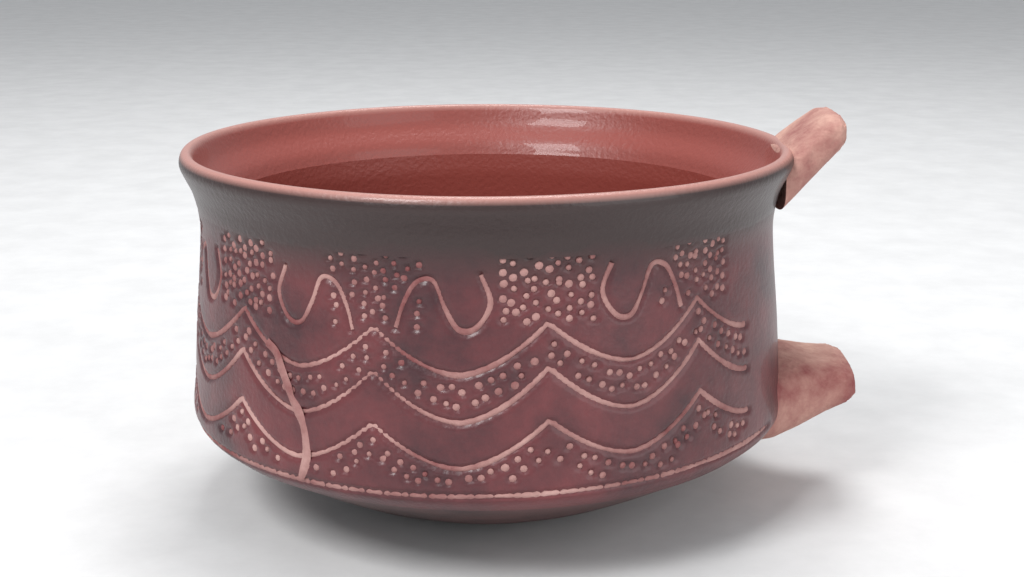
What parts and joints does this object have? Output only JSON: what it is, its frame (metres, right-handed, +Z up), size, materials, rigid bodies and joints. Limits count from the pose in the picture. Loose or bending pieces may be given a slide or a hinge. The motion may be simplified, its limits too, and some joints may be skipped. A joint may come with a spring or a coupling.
{
  "type": "carinated cup",
  "caption": "Wide hand-built pottery cup with a flared lip, sharp shoulder, incised paste-filled garlands and hooks, and the two stumps of a broken strap handle.",
  "frame": {"origin": "centre of the small resting disc under the cup, on the cup's axis", "axes": "+Z up the cup's axis through the mouth, +X towards the broken strap handle"},
  "size_m": [0.1504, 0.134, 0.0873],
  "materials": {
    "dark_clay": "satin",
    "red_clay": "burnished",
    "paste": "matt",
    "broken_clay": "matt"
  },
  "bodies": {
    "root": {"floor_pad": "dark_clay", "lower_bowl": "dark_clay", "body_wall": "red_clay", "rim_collar": "red_clay", "garland_upper": "paste", "garland_middle": "paste", "garland_lower": "paste", "base_line_inlay": "paste", "hook_inlay_01": "paste", "hook_inlay_02": "paste", "hook_inlay_03": "paste", "hook_inlay_04": "paste", "hook_inlay_05": "paste", "hook_inlay_06": "paste", "hook_inlay_07": "paste", "hook_inlay_08": "paste", "hook_inlay_09": "paste", "upper_handle_root": "broken_clay", "lower_handle_root": "broken_clay"}
  },
  "joints": []
}
